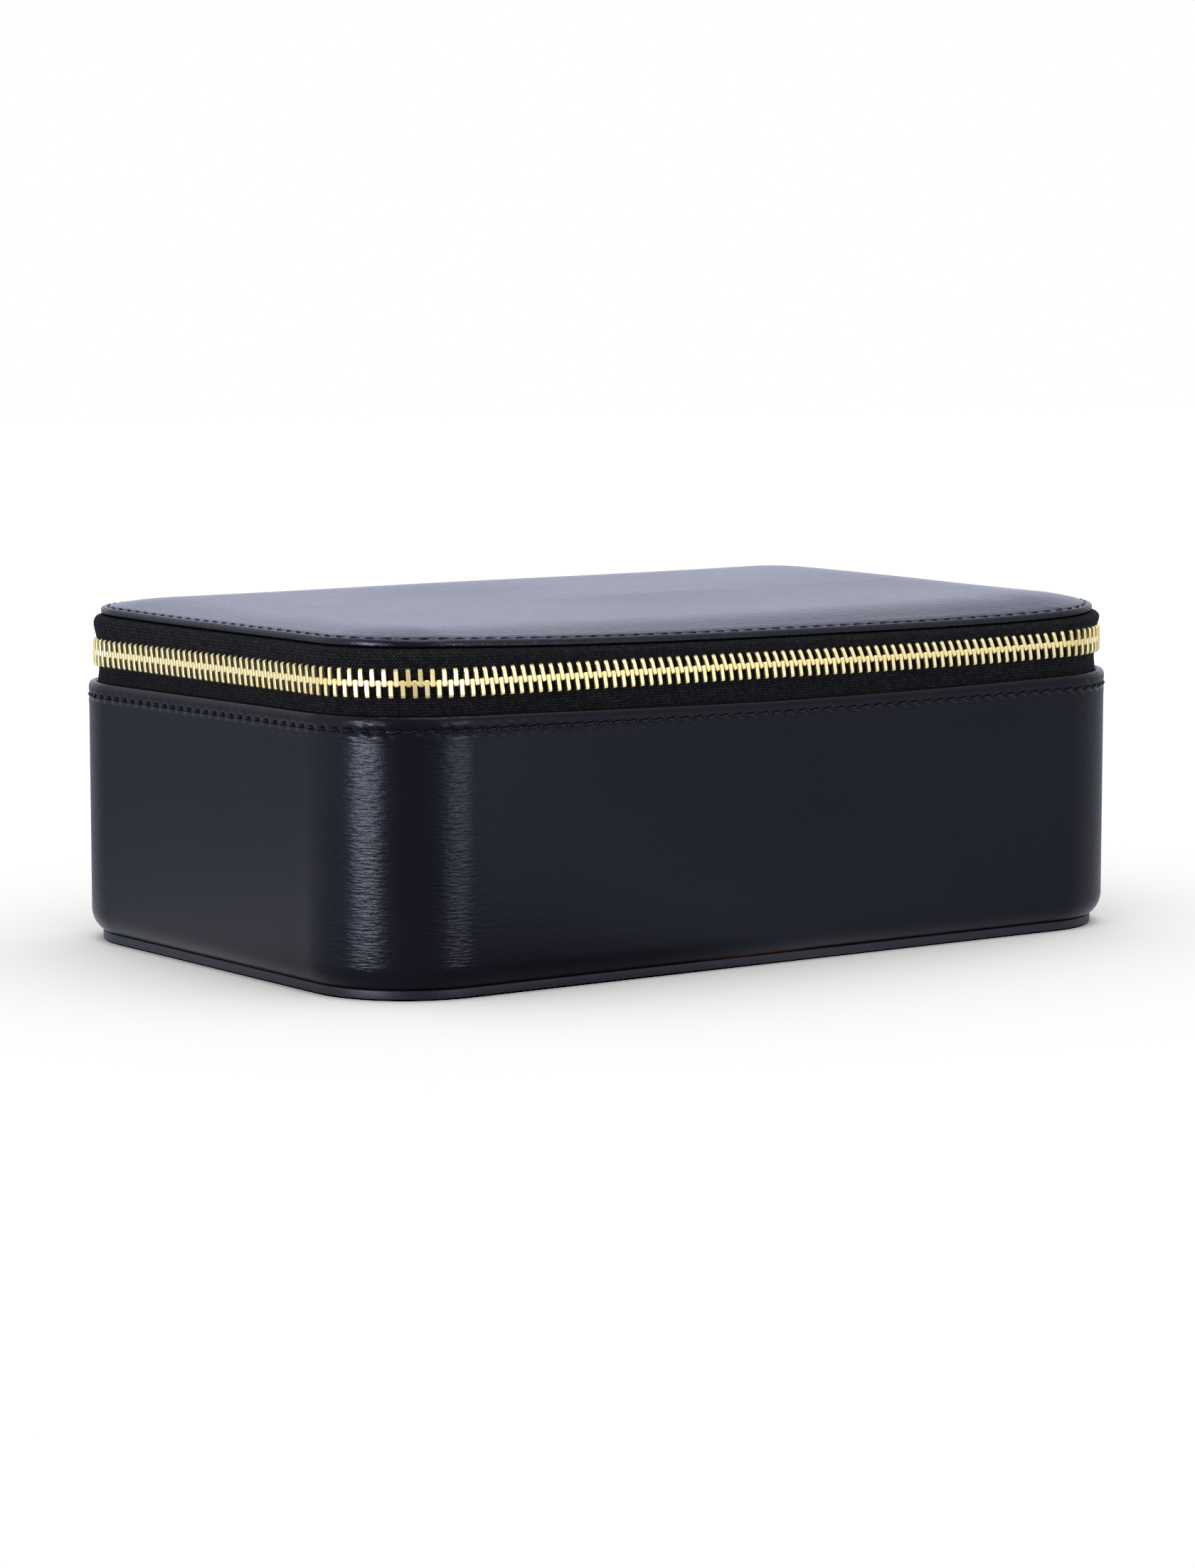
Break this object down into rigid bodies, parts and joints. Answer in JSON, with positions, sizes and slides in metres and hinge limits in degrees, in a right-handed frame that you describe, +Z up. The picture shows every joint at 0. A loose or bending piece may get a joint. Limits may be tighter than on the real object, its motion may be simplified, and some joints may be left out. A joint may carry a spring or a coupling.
{
  "type": "jewellery case",
  "caption": "Low rectangular leather jewellery case with rounded corners, a wrap-round metal zip and a padded lid on a leather hinge.",
  "frame": {"origin": "centre of the base panel's underside, on the table", "axes": "+X along the long side, to the right seen from the front; +Y from the front to the hinge; +Z up"},
  "size_m": [0.22, 0.1444, 0.0781],
  "materials": {
    "case_leather": "smooth semi-gloss, fine straight grain",
    "lining_suede": "matt microsuede",
    "grey_board": "plain grey board",
    "soft_foam": "matt covered foam",
    "zip_tape": "woven twill tape",
    "zip_brass": "polished pale gold"
  },
  "bodies": {
    "base": {"base_panel": "case_leather", "wall_leather": "case_leather", "wall_board": "grey_board", "wall_lining": "lining_suede", "floor_board": "grey_board", "floor_pad": "lining_suede", "long_divider": "lining_suede", "front_cross_divider": "lining_suede", "back_cross_divider_left": "lining_suede", "back_cross_divider_right": "lining_suede", "ring_bed": "soft_foam", "zip_tape_lower": "zip_tape", "zip_tape_upper_left_end": "zip_tape", "zip_tape_upper_right_end": "zip_tape", "zip_teeth_lower": "zip_brass", "zip_teeth_lower_tail": "zip_brass", "zip_teeth_upper_left_end": "zip_brass", "zip_teeth_upper_right_end": "zip_brass", "zip_bottom_stop": "zip_brass", "zip_top_stop_lower": "zip_brass", "zip_top_stop_upper": "zip_brass", "hinge_strip": "case_leather", "hinge_lining": "lining_suede", "ring_roll_1": "lining_suede", "ring_roll_2": "lining_suede", "ring_roll_3": "lining_suede", "ring_roll_4": "lining_suede", "ring_roll_5": "lining_suede"},
    "lid": {"lid_leather": "case_leather", "lid_foam": "soft_foam", "lid_board": "grey_board", "lid_lining": "lining_suede", "zip_tape_upper": "zip_tape", "zip_teeth_upper": "zip_brass"},
    "slider": {"slider_body": "zip_brass", "slider_bail": "zip_brass"},
    "pull": {"pull_tab": "zip_brass"}
  },
  "joints": [
    {"name": "lid_hinge", "type": "hinge", "parent": "base", "child": "lid", "pos_m": [0, 0.069, 0.06732], "axis": [-1, 0, 0], "range_deg": [0, 105], "deforming": ["hinge_strip", "hinge_lining", "zip_tape_upper_left_end", "zip_tape_upper_right_end", "zip_teeth_upper_left_end", "zip_teeth_upper_right_end", "zip_top_stop_upper"]},
    {"name": "slider_slide", "type": "slide", "parent": "base", "child": "slider", "axis": [1, 0, 0], "range_m": [0, 0.022], "deforming": ["zip_teeth_lower_tail", "zip_teeth_upper_right_end"]},
    {"name": "pull_swing", "type": "hinge", "parent": "slider", "child": "pull", "pos_m": [0.055, 0.07245, 0.06732], "axis": [1, 0, 0], "range_deg": [0, 70]}
  ]
}
